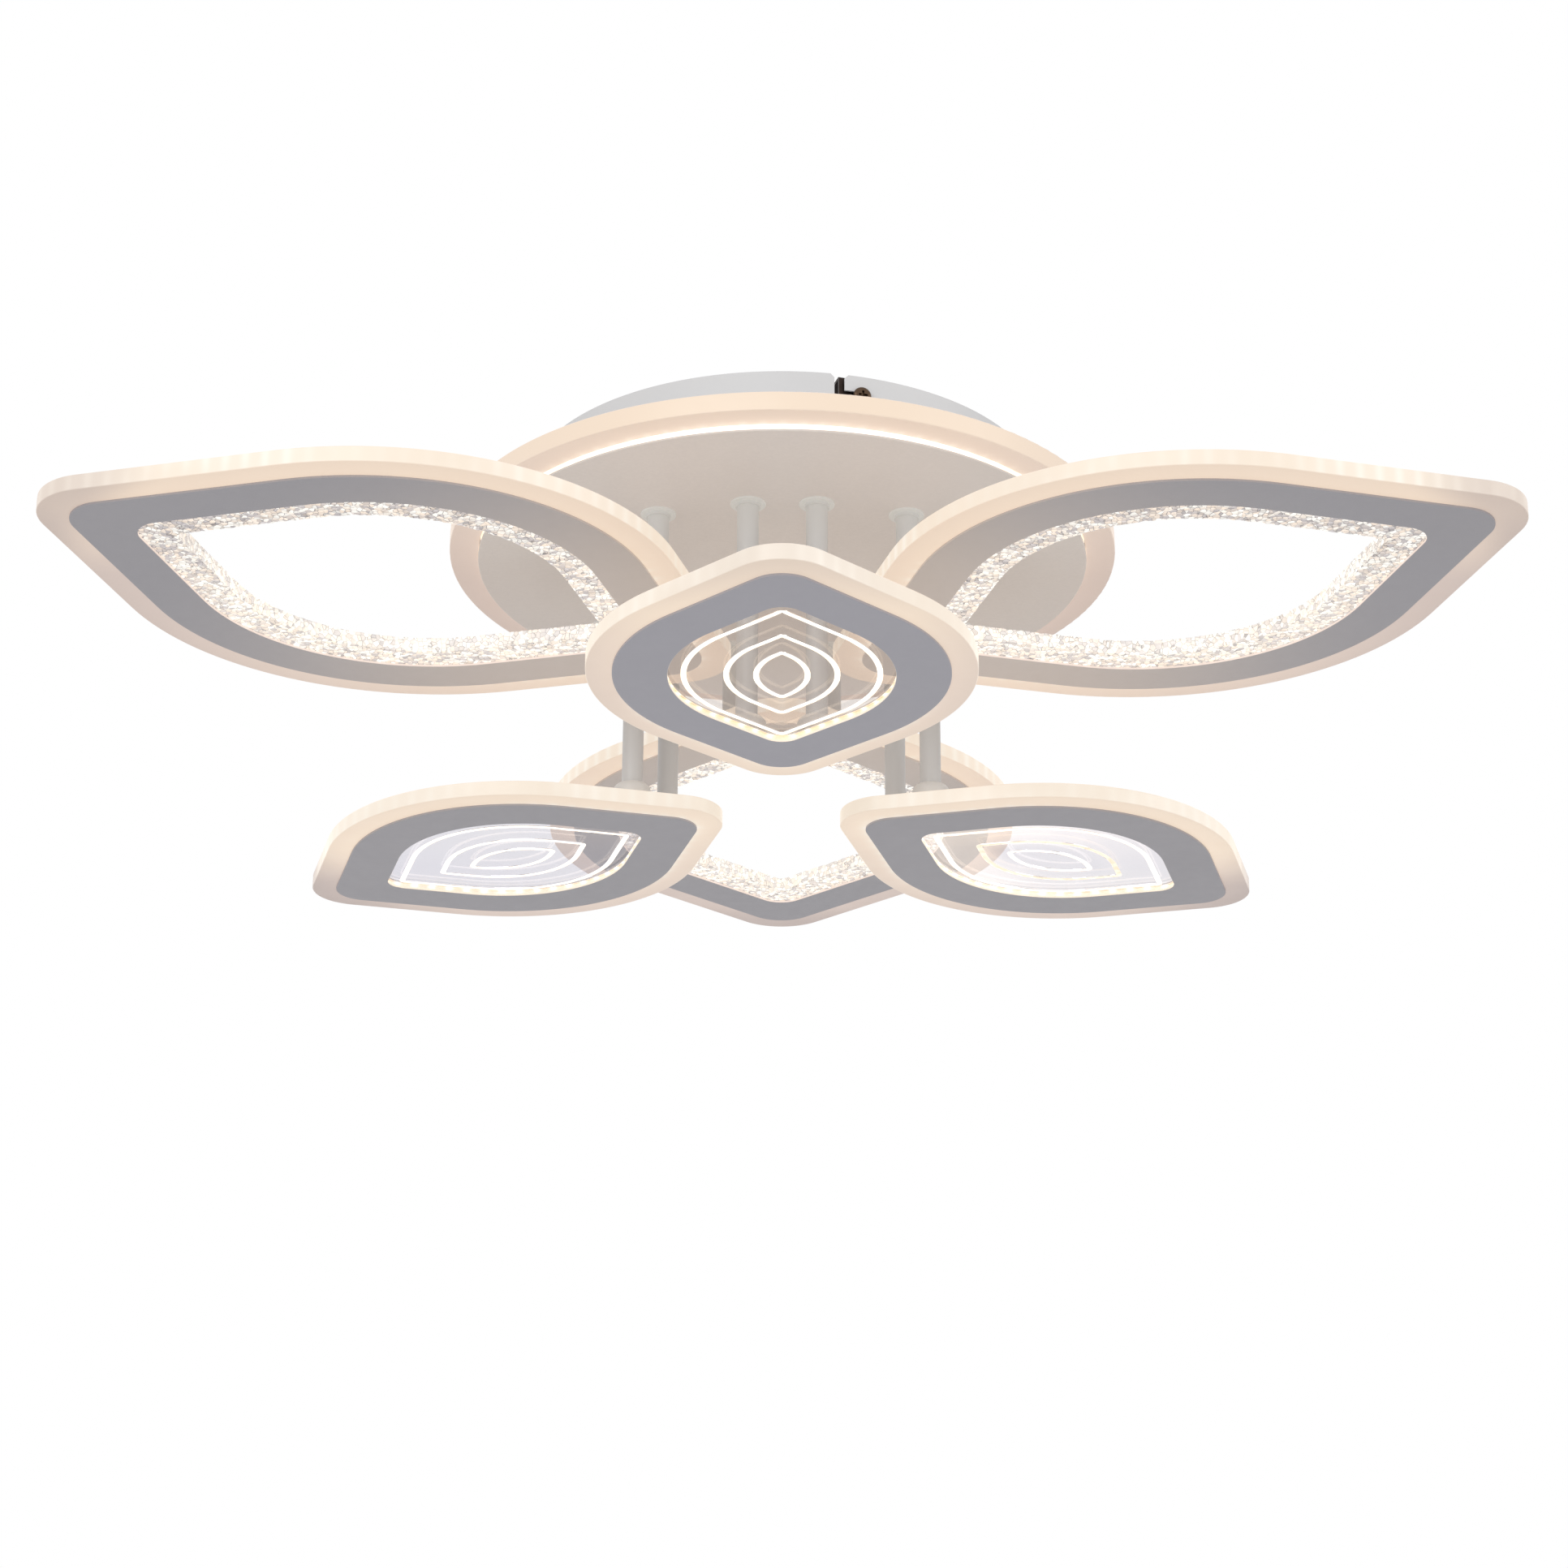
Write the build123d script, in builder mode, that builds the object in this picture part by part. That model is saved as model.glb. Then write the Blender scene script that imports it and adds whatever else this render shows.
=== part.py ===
"""LED ceiling light: a round lit canopy with six leaf-shaped petals that hang on posts at two levels.

Millimetres, +Z up. The origin is on the lamp's axis, in the plane of the ceiling.
"""

import os
from collections import namedtuple
from math import atan2, cos, degrees, radians, sin, sqrt

from build123d import *

os.makedirs("parts", exist_ok=True)

# Sheet metal and acrylic
sheet = 1.0
face_sheet = 1.2
petal_acrylic = 8.0
canopy_acrylic = 10.0
edge_round = 0.6

# Canopy, with heights measured down from the ceiling
pan_radius = 135.0
pan_lip = 9.0
ring_drop = 32.5
ring_radius = 175.0
plate_radius = 160.0
plate_drop = 46.0
base_rim = 7.0
drum_inset = 3.0
drum_lip = 6.0

# Bayonet in the pan's rim and the ceiling bracket behind it
screw_azimuth = -73.2
twist_angle = 4.8
screw_drop = 11.2
slot_width = 5.2
mouth_chamfer = 2.0
bracket_screw = 4.0
bracket_head = 9.2
bracket_head_height = 2.4
bracket_screw_length = 15.0
bracket_width = 22.0
bracket_sheet = 1.5
bracket_gap = 0.9
tab_drop = 20.0
bend_radius = 1.5
ceiling_hole = 5.0
ceiling_hole_circle = 90.0
cable_hole = 18.0
earth_reach = 22.0

# Petals: leaf outline of the face frame, its opening, and the acrylic round it
large_half_length = 167.0
large_half_width = 120.0
large_tip_radius = 20.5
large_reach = 217.5
large_drop = 107.5
large_overhang = 14.0
large_post_reach = 88.5
large_post_spread = 27.0
large_screw_reach = 105.0
small_half_length = 113.0
small_half_width = 79.5
small_tip_radius = 16.5
small_reach = 166.5
small_drop = 179.0
small_overhang = 12.5
small_post_reach = 80.0
small_post_spread = 17.4
small_screw_reach = 70.0
tip_band = 33.5
side_band = 26.0
opening_sharpening = 6.5
ring_sharpening = 4.0
lining_width = 16.5
lining_tip_radius = 3.0
tuck = 2.0
wall_inset = 4.5
face_edge = 0.3

# Engraved lines of the small petals' panels: how far each lies in from the opening's tip and side
line_insets = [(6.0, 6.0), (33.0, 26.0), (52.5, 40.0)]
line_width = 2.8
line_depth = 1.0
line_tip_radius = 3.0

# Light strips
strip_thickness = 2.0
strip_margin = 0.4
canopy_strip_width = 9.6

# Posts, their nipples and nuts
post_diameter = 11.0
top_lip = 18.0
top_lip_height = 1.0
top_collar = 12.8
top_collar_height = 2.6
collar_edge = 0.4
foot_bell = 19.6
foot_height = 7.8
foot_shoulder = 3.8
nipple_diameter = 6.0
nipple_bore = 3.8
nipple_grip = 10.0
nipple_end = 0.5
nut_flats = 10.0
nut_height = 3.2
fit = 0.1

# Small screws
screw_diameter = 3.0
screw_head = 5.6
screw_head_height = 2.0
bush_diameter = 6.0
bush_height = 5.5
screw_bite = 3.5
pan_screw_count = 6
pan_screw_azimuth = 30.0

# Drivers, terminal block and leads
driver_length = 108.0
driver_width = 32.0
driver_height = 22.0
driver_gap = 6.0
ear_length = 8.0
ear_width = 10.0
ear_thickness = 1.5
block_length = 26.0
block_width = 20.0
block_height = 14.0
block_reach = 114.0
block_ways = 3
wire_mouth_width = 5.4
wire_mouth_height = 6.0
wire_mouth_depth = 8.0
wire_screw_well = 3.6
wire_screw_depth = 3.0
lead_diameter = 2.4
lead_height = 11.0
lead_bend = 6.0
lead_foot_bend = 3.0
lead_clearance = 0.4
supply_lead_offset = 8.0

root_two = sqrt(2)
base_top = face_sheet - ring_drop
plate_top = sheet - plate_drop
body_roof = face_sheet + petal_acrylic
body_top = body_roof + sheet
foot_rise = body_top + nut_height
screw_hole = screw_diameter + 2 * fit
nipple_hole = nipple_diameter + 2 * fit

# A leaf outline is a square standing on its corner with its tips and its wide sides rounded
Leaf = namedtuple("Leaf", "half_length half_width tip_radius")
Kind = namedtuple("Kind", "leaf reach drop overhang post_reach post_spread screw_reach")

large = Kind(
    Leaf(large_half_length, large_half_width, large_tip_radius),
    large_reach,
    large_drop,
    large_overhang,
    large_post_reach,
    large_post_spread,
    large_screw_reach,
)
small = Kind(
    Leaf(small_half_length, small_half_width, small_tip_radius),
    small_reach,
    small_drop,
    small_overhang,
    small_post_reach,
    small_post_spread,
    small_screw_reach,
)
petals = [
    ("large_petal_1", large, 210),
    ("large_petal_2", large, 330),
    ("large_petal_3", large, 90),
    ("small_petal_1", small, 270),
    ("small_petal_2", small, 150),
    ("small_petal_3", small, 30),
]


def save(piece, name):
    """Names a finished piece and writes it."""
    piece.part.label = name
    export_step(piece.part, f"parts/{name}.step")


def corner_of(leaf):
    """Half the diagonal of the square that a leaf outline is cut from."""
    return leaf.half_length + leaf.tip_radius * (root_two - 1)


def opening_of(leaf):
    """The leaf outline of the opening in a petal's face frame."""
    return Leaf(
        leaf.half_length - tip_band, leaf.half_width - side_band, leaf.tip_radius - opening_sharpening
    )


def ring_leaf_of(leaf):
    """The leaf outline that the acrylic's outer edge is grown from, a little sharper at its tips."""
    return Leaf(
        leaf.half_length + ring_sharpening * (root_two - 1), leaf.half_width, leaf.tip_radius - ring_sharpening
    )


def leaf_sketch(leaf, grow=0.0, least_tip=1.0):
    """A leaf outline, grown outwards by an even distance."""
    corner = corner_of(leaf) + grow * root_two
    side_radius = (corner - leaf.half_width - grow) / (root_two - 1)
    with BuildSketch() as outline:
        Rectangle(corner * root_two, corner * root_two, rotation=45)
        sides = outline.vertices().sort_by(Axis.Y)
        fillet([sides[0], sides[-1]], side_radius)
        tips = outline.vertices().sort_by(Axis.X)
        fillet([tips[0], tips[-1]], max(leaf.tip_radius + grow, least_tip))
    return outline.sketch


def band_sketch(leaf, outer_grow, hole, inner_grow, least_tip=1.0):
    """The band between one leaf outline and another inside it, each grown by its own distance."""
    outer = leaf_sketch(leaf, outer_grow)
    inner = leaf_sketch(hole, inner_grow, least_tip)
    with BuildSketch() as band:
        add(outer)
        add(inner, mode=Mode.SUBTRACT)
    return band.sketch


def turned_plane(azimuth, reach=0.0, height=0.0):
    """A level plane at a reach from the lamp's axis, with its X direction pointing outwards."""
    out = Vector(cos(radians(azimuth)), sin(radians(azimuth)), 0)
    return Plane(origin=out * reach + Vector(0, 0, height), x_dir=out, z_dir=(0, 0, 1))


def wall_plane(azimuth, reach, height):
    """An upright plane that faces outwards, with its Y direction pointing up."""
    out = Vector(cos(radians(azimuth)), sin(radians(azimuth)), 0)
    return Plane(
        origin=out * reach + Vector(0, 0, height), x_dir=Vector(-out.Y, out.X, 0), z_dir=out
    )


def petal_plane(kind, azimuth, height=0.0):
    """The plane at a height above a petal's lower face, with its origin at the leaf's centre."""
    return turned_plane(azimuth, kind.reach, height - kind.drop)


def post_places(kind):
    """Where a petal's two posts stand, measured from the leaf's centre."""
    along = kind.post_reach - kind.reach
    return [(along, -kind.post_spread), (along, kind.post_spread)]


def screw_places(kind):
    """Where a petal's face screws stand: at the wide sides and half way along the flanks."""
    middle = (corner_of(kind.leaf) + corner_of(opening_of(kind.leaf))) / 2
    flank = middle - kind.screw_reach
    side = kind.leaf.half_width - side_band / 2
    places = [(0, -side), (0, side)]
    for along in (-kind.screw_reach, kind.screw_reach):
        places += [(along, -flank), (along, flank)]
    return places


def lamp_place(kind, azimuth, place):
    """A place measured from a leaf's centre, in the lamp's own X and Y."""
    point = petal_plane(kind, azimuth).from_local_coords(Vector(*place, 0))
    return point.X, point.Y


def nut_sketch(across_flats, bore):
    """A hexagon with a hole."""
    with BuildSketch() as outline:
        RegularPolygon(across_flats / 2, 6, major_radius=False)
        Circle(bore / 2, mode=Mode.SUBTRACT)
    return outline.sketch


def screw_part(length):
    """A pan-head screw that points down, with its seat at the origin."""
    with BuildPart() as one:
        with BuildSketch():
            Circle(screw_head / 2)
        extrude(amount=screw_head_height)
        fillet(one.edges().sort_by(Axis.Z)[-1], screw_head_height / 2)
        with BuildSketch(Plane.XY.offset(screw_head_height)):
            Rectangle(screw_head * 0.6, screw_head / 8)
            Rectangle(screw_head / 8, screw_head * 0.6)
        extrude(amount=-screw_head_height / 2, mode=Mode.SUBTRACT)
        with BuildSketch():
            Circle(screw_diameter / 2)
        extrude(amount=-length)
    return one.part


all_posts = []
for petal, kind, azimuth in petals:
    for place in post_places(kind):
        all_posts.append(lamp_place(kind, azimuth, place))
lamp_nut = nut_sketch(nut_flats, nipple_hole)

# Ceiling bracket: strip with its two ends bent down, tapped for the bayonet screws
tab_reach = pan_radius - sheet - bracket_gap
# The tab is flat and the pan round, so the tab's corners come nearest to the pan
tab_face = sqrt(tab_reach**2 - (bracket_width / 2) ** 2)
strip_plane = turned_plane(screw_azimuth, 0, -bracket_sheet)
with BuildPart() as bracket:
    with BuildSketch(strip_plane):
        Rectangle(2 * tab_face, bracket_width)
    extrude(amount=bracket_sheet)
    with BuildSketch(turned_plane(screw_azimuth, 0, -tab_drop)):
        with Locations((tab_face - bracket_sheet / 2, 0), (bracket_sheet / 2 - tab_face, 0)):
            Rectangle(bracket_sheet, bracket_width)
    extrude(amount=tab_drop)
    outer_bends = bracket.edges().filter_by(lambda e: abs(e.center().Z) < 0.01 and e.length > bracket_width - 0.1)
    fillet(outer_bends.sort_by(lambda e: e.center().length)[-2:], bend_radius)
    for side in (0, 180):
        # The welded nut behind each tab
        nut_plane = wall_plane(screw_azimuth + side, tab_face - bracket_sheet, -screw_drop)
        with BuildSketch(nut_plane):
            RegularPolygon(bracket_screw * 0.875, 6, major_radius=False)
        extrude(amount=-bracket_screw * 0.8)
        with BuildSketch(nut_plane.offset(-bracket_screw)):
            Circle(bracket_screw / 2 + fit)
        extrude(amount=bracket_screw + 2 * bracket_sheet, mode=Mode.SUBTRACT)
    with BuildSketch(strip_plane):
        Circle(cable_hole / 2)
        with Locations((ceiling_hole_circle / 2, 0), (-ceiling_hole_circle / 2, 0)):
            Circle(ceiling_hole / 2)
        with Locations((earth_reach, 0)):
            Circle(bracket_screw / 2 + fit)
    extrude(amount=bracket_sheet, mode=Mode.SUBTRACT)
save(bracket, "ceiling_bracket")

# Bayonet screws: shank through the pan's slot into the bracket's nut, domed head outside
head_gap = 0.3
with BuildPart() as bracket_screws:
    for side in (0, 180):
        seat = wall_plane(screw_azimuth + side, pan_radius + head_gap, -screw_drop)
        with BuildSketch(seat):
            Circle(bracket_screw / 2)
        extrude(amount=-bracket_screw_length)
        with BuildSketch(seat):
            Circle(bracket_head / 2)
        extrude(amount=bracket_head_height)
        crown = bracket_screws.edges().filter_by(GeomType.CIRCLE)
        crown = crown.filter_by(lambda e: abs(e.radius - bracket_head / 2) < 0.01)
        fillet(crown.sort_by(lambda e: (e.center() - seat.origin).dot(seat.z_dir))[-1], bracket_head_height * 0.6)
        with BuildSketch(seat.offset(bracket_head_height)):
            Rectangle(bracket_head / 2, bracket_head / 8)
            Rectangle(bracket_head / 8, bracket_head / 2)
        extrude(amount=-bracket_head_height / 2, mode=Mode.SUBTRACT)
save(bracket_screws, "bracket_screws")

# Earth screw with its cup washer, under the strip
washer_height = 0.8
with BuildPart() as earth_screw:
    earth_plane = turned_plane(screw_azimuth, earth_reach, -bracket_sheet)
    with BuildSketch(earth_plane):
        Circle(bracket_screw / 2)
    extrude(amount=bracket_sheet - fit)
    with BuildSketch(earth_plane):
        Circle(bracket_head / 2)
    extrude(amount=-washer_height)
    with BuildSketch(earth_plane.offset(-washer_height)):
        Circle(bracket_screw * 0.9)
    extrude(amount=-bracket_head_height)
    with BuildSketch(earth_plane.offset(-washer_height - bracket_head_height)):
        Rectangle(bracket_screw * 1.3, bracket_screw / 5)
        Rectangle(bracket_screw / 5, bracket_screw * 1.3)
    extrude(amount=bracket_head_height / 2, mode=Mode.SUBTRACT)
save(earth_screw, "earth_screw")

# Pan: drum against the ceiling with an inward lip below and two bayonet slots in its rim
pan_screw_reach = pan_radius - sheet - (pan_lip - sheet) / 2
with BuildPart() as pan:
    with BuildSketch(Plane.XY.offset(base_top)):
        Circle(pan_radius)
        Circle(pan_radius - sheet, mode=Mode.SUBTRACT)
    extrude(amount=-base_top)
    with BuildSketch(Plane.XY.offset(base_top)):
        Circle(pan_radius - sheet / 2)
        Circle(pan_radius - pan_lip, mode=Mode.SUBTRACT)
    extrude(amount=sheet)
    with BuildSketch(Plane.XY.offset(base_top)):
        with PolarLocations(pan_screw_reach, pan_screw_count, start_angle=pan_screw_azimuth):
            Circle(screw_hole / 2)
    extrude(amount=sheet, mode=Mode.SUBTRACT)
    for side in (0, 180):
        mouth_azimuth = screw_azimuth - twist_angle + side
        half = slot_width / 2
        with BuildSketch(wall_plane(mouth_azimuth, pan_radius - 2 * sheet, 0)):
            with BuildLine():
                Polyline(
                    (-half, -screw_drop - half),
                    (-half, -mouth_chamfer),
                    (-half - 1.5 * mouth_chamfer, mouth_chamfer / 2),
                    (half + 1.5 * mouth_chamfer, mouth_chamfer / 2),
                    (half, -mouth_chamfer),
                    (half, -screw_drop - half),
                    close=True,
                )
            make_face()
        extrude(amount=3 * sheet, mode=Mode.SUBTRACT)
        with BuildSketch(Plane.XY.offset(-screw_drop - half)):
            with BuildLine():
                inner = CenterArc((0, 0), pan_radius - 2 * sheet, mouth_azimuth, twist_angle)
                outer = CenterArc((0, 0), pan_radius + sheet, mouth_azimuth, twist_angle)
                Line(inner @ 0, outer @ 0)
                Line(inner @ 1, outer @ 1)
            make_face()
        extrude(amount=slot_width, mode=Mode.SUBTRACT)
        with BuildSketch(wall_plane(screw_azimuth + side, pan_radius - 2 * sheet, -screw_drop)):
            Circle(half)
        extrude(amount=3 * sheet, mode=Mode.SUBTRACT)
save(pan, "canopy_pan")

# Base plate: closes the pan, carries the drivers and holds the acrylic ring by its rim
ear_reach = driver_length / 2 + ear_length / 2
driver_centre = (driver_width + driver_gap) / 2
driver_screw_places = [(x, y) for x in (-ear_reach, ear_reach) for y in (-driver_centre, driver_centre)]
with BuildPart() as base_plate:
    with BuildSketch(Plane.XY.offset(-ring_drop)):
        Circle(ring_radius - base_rim)
        with Locations(*all_posts):
            Circle(nipple_hole / 2, mode=Mode.SUBTRACT)
        with Locations(*driver_screw_places):
            Circle(screw_hole / 2, mode=Mode.SUBTRACT)
        with PolarLocations(pan_screw_reach, pan_screw_count, start_angle=pan_screw_azimuth):
            Circle(screw_hole / 2, mode=Mode.SUBTRACT)
    extrude(amount=face_sheet)
save(base_plate, "base_plate")


# Screws that hold the pan's lip to the base plate
pan_screw = screw_part(sheet + face_sheet + fit)
with BuildPart() as pan_screws:
    with Locations(Plane.XY.offset(base_top + sheet)):
        with PolarLocations(pan_screw_reach, pan_screw_count, start_angle=pan_screw_azimuth):
            add(pan_screw)
save(pan_screws, "pan_screws")

# Acrylic ring of the canopy
with BuildPart() as canopy_ring:
    with BuildSketch(Plane.XY.offset(-ring_drop - canopy_acrylic)):
        Circle(ring_radius)
        Circle(plate_radius, mode=Mode.SUBTRACT)
    extrude(amount=canopy_acrylic)
    rim = canopy_ring.edges().filter_by(GeomType.CIRCLE).filter_by(lambda e: abs(e.radius - ring_radius) < 0.01)
    fillet(rim, edge_round)
save(canopy_ring, "canopy_ring")

# Drum wall between base plate and canopy plate, with its strip of lights outside
drum_radius = plate_radius - drum_inset
drum_height = -ring_drop - plate_top
with BuildPart() as drum:
    with BuildSketch(Plane.XY.offset(plate_top)):
        Circle(drum_radius)
        Circle(drum_radius - sheet, mode=Mode.SUBTRACT)
    extrude(amount=drum_height)
    for floor in (plate_top, -ring_drop - sheet):
        with BuildSketch(Plane.XY.offset(floor)):
            Circle(drum_radius - sheet / 2)
            Circle(drum_radius - drum_lip, mode=Mode.SUBTRACT)
        extrude(amount=sheet)
save(drum, "strip_drum")

with BuildPart() as canopy_strip:
    with BuildSketch(Plane.XY.offset(plate_top + strip_margin)):
        Circle(drum_radius + strip_thickness)
        Circle(drum_radius, mode=Mode.SUBTRACT)
    extrude(amount=canopy_strip_width)
save(canopy_strip, "canopy_light_strip")

# Canopy plate, seen from below, with a hole for each post
with BuildPart() as canopy_plate:
    with BuildSketch(Plane.XY.offset(-plate_drop)):
        Circle(plate_radius)
        with Locations(*all_posts):
            Circle(nipple_hole / 2, mode=Mode.SUBTRACT)
    extrude(amount=sheet)
    lower_rim = canopy_plate.edges().filter_by(lambda e: e.geom_type == GeomType.CIRCLE and e.radius > plate_radius - 1)
    fillet(lower_rim.sort_by(Axis.Z)[0], sheet / 2)
save(canopy_plate, "canopy_plate")

# Hollow threaded nipples and their nuts at the canopy
with BuildPart() as canopy_nipples:
    with BuildSketch(Plane.XY.offset(-plate_drop - nipple_grip)):
        with Locations(*all_posts):
            Circle(nipple_diameter / 2)
            Circle(nipple_bore / 2, mode=Mode.SUBTRACT)
    extrude(amount=plate_drop + nipple_grip + base_top + nut_height + nipple_end)
save(canopy_nipples, "canopy_nipples")

with BuildPart() as canopy_nuts:
    with BuildSketch(Plane.XY.offset(base_top)):
        with Locations(*all_posts):
            add(lamp_nut)
    extrude(amount=nut_height)
save(canopy_nuts, "canopy_nuts")

# Nipples and nuts at the petals: one nut inside the channel, one on its roof
nipple_foot = body_roof - nut_height - nipple_end
with BuildPart() as petal_nipples:
    for petal, kind, azimuth in petals:
        with BuildSketch(petal_plane(kind, azimuth, nipple_foot)):
            with Locations(*post_places(kind)):
                Circle(nipple_diameter / 2)
                Circle(nipple_bore / 2, mode=Mode.SUBTRACT)
        extrude(amount=foot_rise + nipple_grip - nipple_foot)
save(petal_nipples, "petal_nipples")

# Two flats of each nut face the channel's walls, which run at 45 degrees beside the posts
flat_turn = 15
with BuildPart() as petal_nuts:
    for petal, kind, azimuth in petals:
        right, left = post_places(kind)
        for height in (body_roof - nut_height, body_top):
            with BuildSketch(petal_plane(kind, azimuth, height)):
                with Locations(right):
                    add(lamp_nut, rotation=flat_turn)
                with Locations(left):
                    add(lamp_nut, rotation=-flat_turn)
            extrude(amount=nut_height)
save(petal_nuts, "petal_nuts")

# Screws that come down through each petal's body into the bushes on its face frame
petal_screw = screw_part(sheet + petal_acrylic - bush_height + screw_bite)
with BuildPart() as petal_screws:
    for petal, kind, azimuth in petals:
        with Locations(petal_plane(kind, azimuth, body_top)):
            with Locations(*screw_places(kind)):
                add(petal_screw)
save(petal_screws, "petal_screws")

# Which post of each petal the lead comes down: 0 is the right one, seen from the lamp's axis
lead_posts = {210: 0, 330: 1, 90: 0, 270: 1, 150: 1, 30: 0}
lead_foot = face_sheet + fit + lead_diameter / 2
notch_width = lead_diameter + 2 * lead_clearance


def lead_end(kind, azimuth):
    """Where a lead meets the light strip, square across the channel from its post, and that way in."""
    along, across = post_places(kind)[lead_posts[azimuth]]
    way_in = Vector(1, -1 if across > 0 else 1, 0) / root_two
    strip_line = corner_of(opening_of(kind.leaf)) + wall_inset * root_two
    distance = (abs(along) + abs(across) - strip_line) / root_two
    return Vector(along, across, 0) + way_in * distance, way_in


# Petals, each of a face frame, a channel body, acrylic, light strips and two posts
for petal, kind, azimuth in petals:
    leaf = kind.leaf
    opening = opening_of(leaf)
    floor = petal_plane(kind, azimuth, face_sheet)

    face_band = band_sketch(leaf, 0, opening, 0)
    with BuildPart() as face:
        with BuildSketch(petal_plane(kind, azimuth)):
            add(face_band)
        extrude(amount=face_sheet)
        fillet(face.faces().sort_by(Axis.Z)[0].edges(), face_edge)
        with BuildSketch(floor):
            with Locations(*screw_places(kind)):
                Circle(bush_diameter / 2)
                Circle(screw_hole / 2, mode=Mode.SUBTRACT)
        extrude(amount=bush_height)
    save(face, f"{petal}_face")

    roof_band = band_sketch(leaf, -sheet, opening, sheet)
    outer_wall = band_sketch(leaf, -wall_inset, leaf, -wall_inset - sheet)
    inner_wall = band_sketch(opening, wall_inset + sheet, opening, wall_inset)
    end, way_in = lead_end(kind, azimuth)
    with BuildPart() as body:
        with BuildSketch(petal_plane(kind, azimuth, body_roof)):
            add(roof_band)
            with Locations(*post_places(kind)):
                Circle(nipple_hole / 2, mode=Mode.SUBTRACT)
            with Locations(*screw_places(kind)):
                Circle(screw_hole / 2, mode=Mode.SUBTRACT)
        extrude(amount=sheet)
        with BuildSketch(floor):
            add(outer_wall)
            add(inner_wall)
        extrude(amount=petal_acrylic)
        # Notch that lets the lead through the wall to the strip
        with BuildSketch(floor):
            with Locations(Location((end.X, end.Y, 0), (0, 0, degrees(atan2(way_in.Y, way_in.X))))):
                Rectangle(3 * sheet, notch_width)
        extrude(amount=lead_foot - face_sheet + lead_diameter / 2 + lead_clearance, mode=Mode.SUBTRACT)
    save(body, f"{petal}_body")

    ring_band = band_sketch(ring_leaf_of(leaf), kind.overhang, leaf, -tuck)
    with BuildPart() as ring:
        with BuildSketch(floor):
            add(ring_band)
        extrude(amount=petal_acrylic)
        for level in (0, -1):
            rim = ring.faces().sort_by(Axis.Z)[level].outer_wire()
            fillet(rim.edges(), edge_round)
    save(ring, f"{petal}_ring")

    if kind is large:
        lining_band = band_sketch(opening, tuck, opening, -lining_width, lining_tip_radius)
        with BuildPart() as lining:
            with BuildSketch(floor):
                add(lining_band)
            extrude(amount=petal_acrylic)
        save(lining, f"{petal}_lining")
    else:
        panel_outline = leaf_sketch(opening, tuck)
        line_bands = []
        for tip_inset, side_inset in line_insets:
            line = Leaf(opening.half_length - tip_inset, opening.half_width - side_inset, line_tip_radius)
            line_bands.append(band_sketch(line, 0, line, -line_width))
        with BuildPart() as panel:
            with BuildSketch(floor):
                add(panel_outline)
            extrude(amount=petal_acrylic)
            with BuildSketch(floor):
                add(line_bands)
            extrude(amount=line_depth, mode=Mode.SUBTRACT)
        save(panel, f"{petal}_panel")

    outer_strip = band_sketch(leaf, strip_thickness - wall_inset, leaf, -wall_inset)
    inner_strip = band_sketch(opening, wall_inset, opening, wall_inset - strip_thickness)
    with BuildPart() as strips:
        with BuildSketch(floor.offset(strip_margin)):
            add(outer_strip)
            add(inner_strip)
        extrude(amount=petal_acrylic - 2 * strip_margin)
    save(strips, f"{petal}_light_strips")

    foot = foot_rise - kind.drop
    length = -plate_drop - foot
    with BuildPart() as posts:
        for place in post_places(kind):
            low = Plane(origin=(*lamp_place(kind, azimuth, place), foot))
            with BuildSketch(low):
                Circle(post_diameter / 2)
            extrude(amount=length)
            with BuildSketch(low):
                Circle(foot_bell / 2)
            extrude(amount=foot_height)
            with BuildSketch(low.offset(length)):
                Circle(top_collar / 2)
            extrude(amount=-top_collar_height)
            with BuildSketch(low.offset(length)):
                Circle(top_lip / 2)
            extrude(amount=-top_lip_height)
        for radius, level, edge in (
            (foot_bell / 2, -1, foot_shoulder),
            (top_collar / 2, 0, collar_edge),
            (top_lip / 2, 0, collar_edge),
        ):
            rims = posts.edges().filter_by(GeomType.CIRCLE)
            rims = rims.filter_by(lambda e: abs(e.radius - radius) < 0.01)
            fillet(rims.group_by(Axis.Z)[level], edge)
        for place in post_places(kind):
            with BuildSketch(Plane(origin=(*lamp_place(kind, azimuth, place), foot))):
                Circle(nipple_hole / 2)
            extrude(amount=length, mode=Mode.SUBTRACT)
    save(posts, f"{petal}_posts")

# Two drivers on the base plate, each with a fixing ear at either end
for name, y in (("driver_1", -driver_centre), ("driver_2", driver_centre)):
    with BuildPart() as driver:
        with BuildSketch(Plane.XY.offset(base_top)):
            with Locations((0, y)):
                Rectangle(driver_length, driver_width)
        extrude(amount=driver_height)
        fillet(driver.edges().filter_by(Axis.Z), 2)
        with BuildSketch(Plane.XY.offset(base_top)):
            with Locations((-ear_reach, y), (ear_reach, y)):
                Rectangle(ear_length, ear_width)
        extrude(amount=ear_thickness)
        with BuildSketch(Plane.XY.offset(base_top)):
            with Locations((-ear_reach, y), (ear_reach, y)):
                Circle(screw_hole / 2)
        extrude(amount=ear_thickness, mode=Mode.SUBTRACT)
    save(driver, name)

driver_screw = screw_part(ear_thickness + face_sheet + fit)
with BuildPart() as driver_screws:
    with Locations(Plane.XY.offset(base_top + ear_thickness)):
        with Locations(*driver_screw_places):
            add(driver_screw)
save(driver_screws, "driver_screws")

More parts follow.
